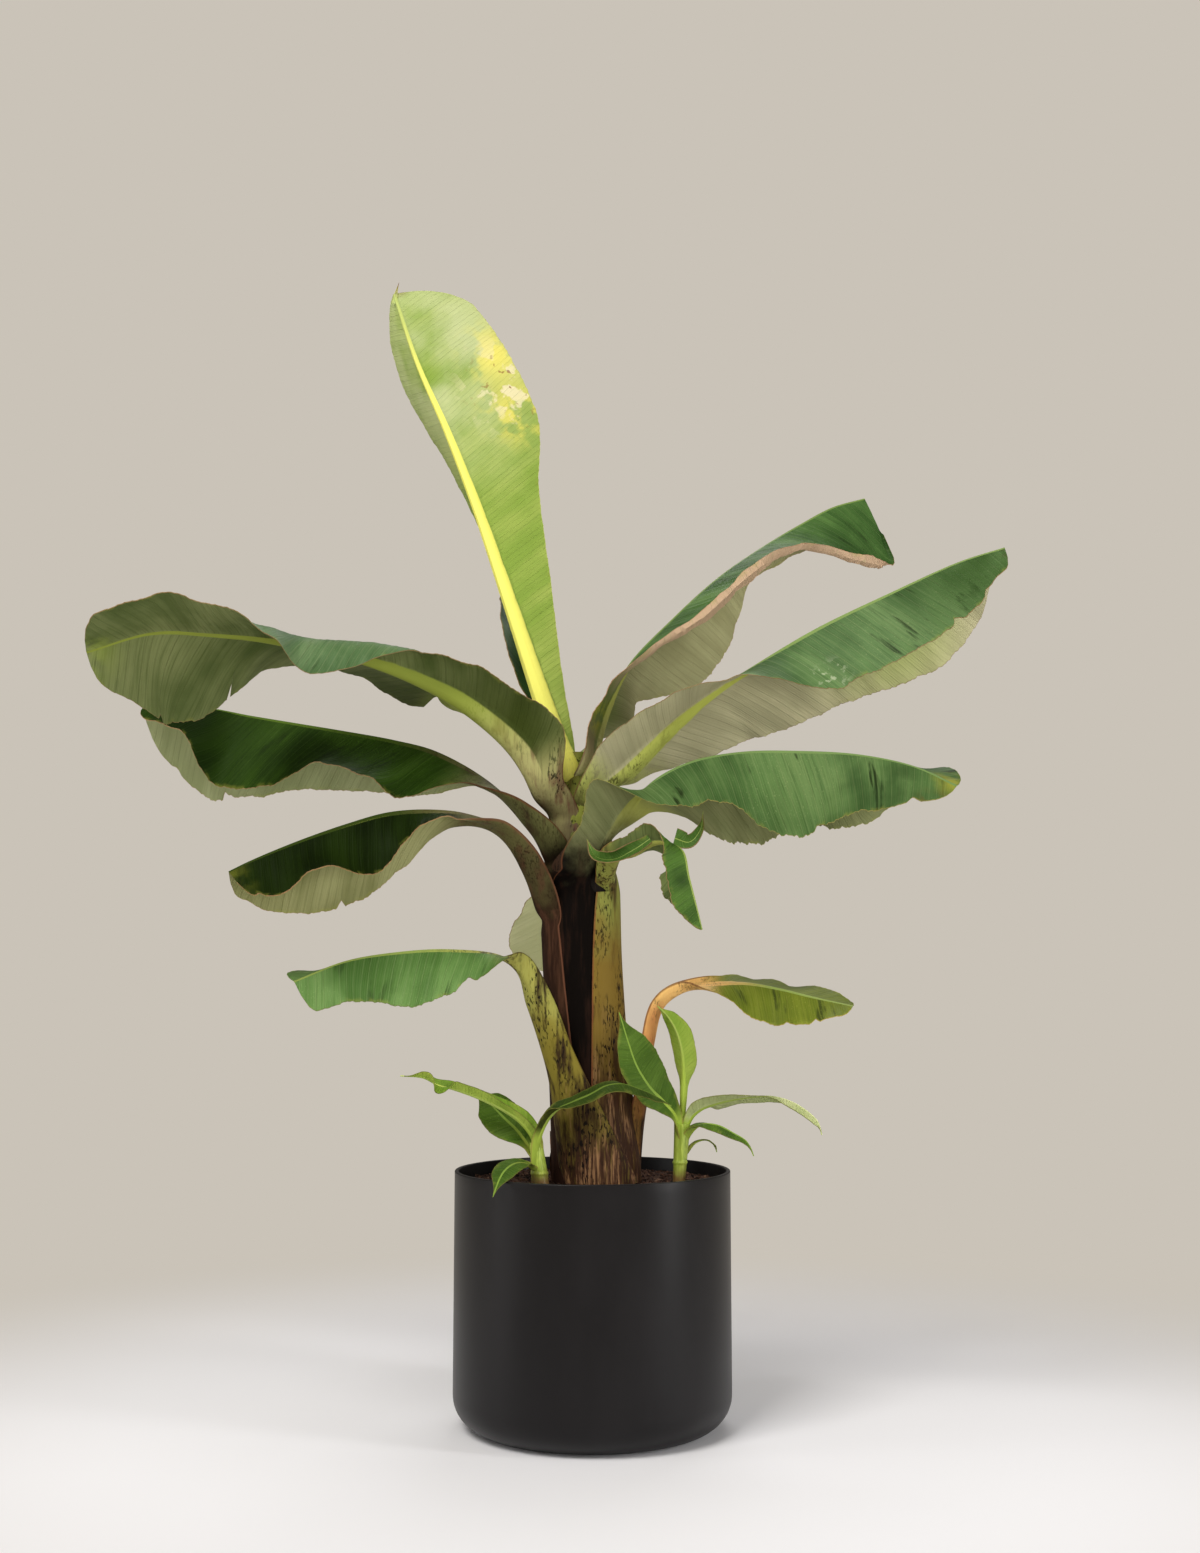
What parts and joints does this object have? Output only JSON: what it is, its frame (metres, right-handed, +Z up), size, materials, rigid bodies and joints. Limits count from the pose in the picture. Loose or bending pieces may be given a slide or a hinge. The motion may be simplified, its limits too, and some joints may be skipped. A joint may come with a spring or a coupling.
{
  "type": "potted banana plant",
  "caption": "Banana plant with a sheathed stem, long arching leaves and young side shoots, standing in a plain round pot of soil.",
  "frame": {"origin": "centre of the pot's flat underside, on the surface that the pot stands on", "axes": "+Z up along the pot's axis, +X to the right in the pictured view, +Y away from the viewer"},
  "size_m": [0.9888, 0.5664, 1.3142],
  "materials": {
    "pot": "satin black",
    "soil": "matte, crumbly",
    "stem": "satin, streaked sheaths",
    "leaf": "semi-gloss",
    "young_leaf": "semi-gloss",
    "shoot_stem": "satin",
    "shoot_leaf": "semi-gloss"
  },
  "bodies": {
    "root": {"pot": "pot", "soil": "soil", "stem": "stem", "leaf_upright": "young_leaf", "leaf_upper_left": "leaf", "leaf_middle_left": "leaf", "leaf_lower_left": "leaf", "leaf_small_left": "leaf", "leaf_upper_right": "leaf", "leaf_second_right": "leaf", "leaf_third_right": "leaf", "leaf_crumpled_right": "leaf", "leaf_low_right": "leaf", "leaf_back_drooping": "leaf", "leaf_back_young": "leaf", "left_shoot_stem": "shoot_stem", "left_shoot_leaf_long": "shoot_leaf", "left_shoot_leaf_broad": "shoot_leaf", "left_shoot_leaf_arching": "shoot_leaf", "left_shoot_leaf_low": "shoot_leaf", "right_shoot_stem": "shoot_stem", "right_shoot_leaf_broad": "shoot_leaf", "right_shoot_leaf_upright": "shoot_leaf", "right_shoot_leaf_arching": "shoot_leaf", "right_shoot_leaf_low": "shoot_leaf", "right_shoot_leaf_thin": "shoot_leaf"}
  },
  "joints": []
}
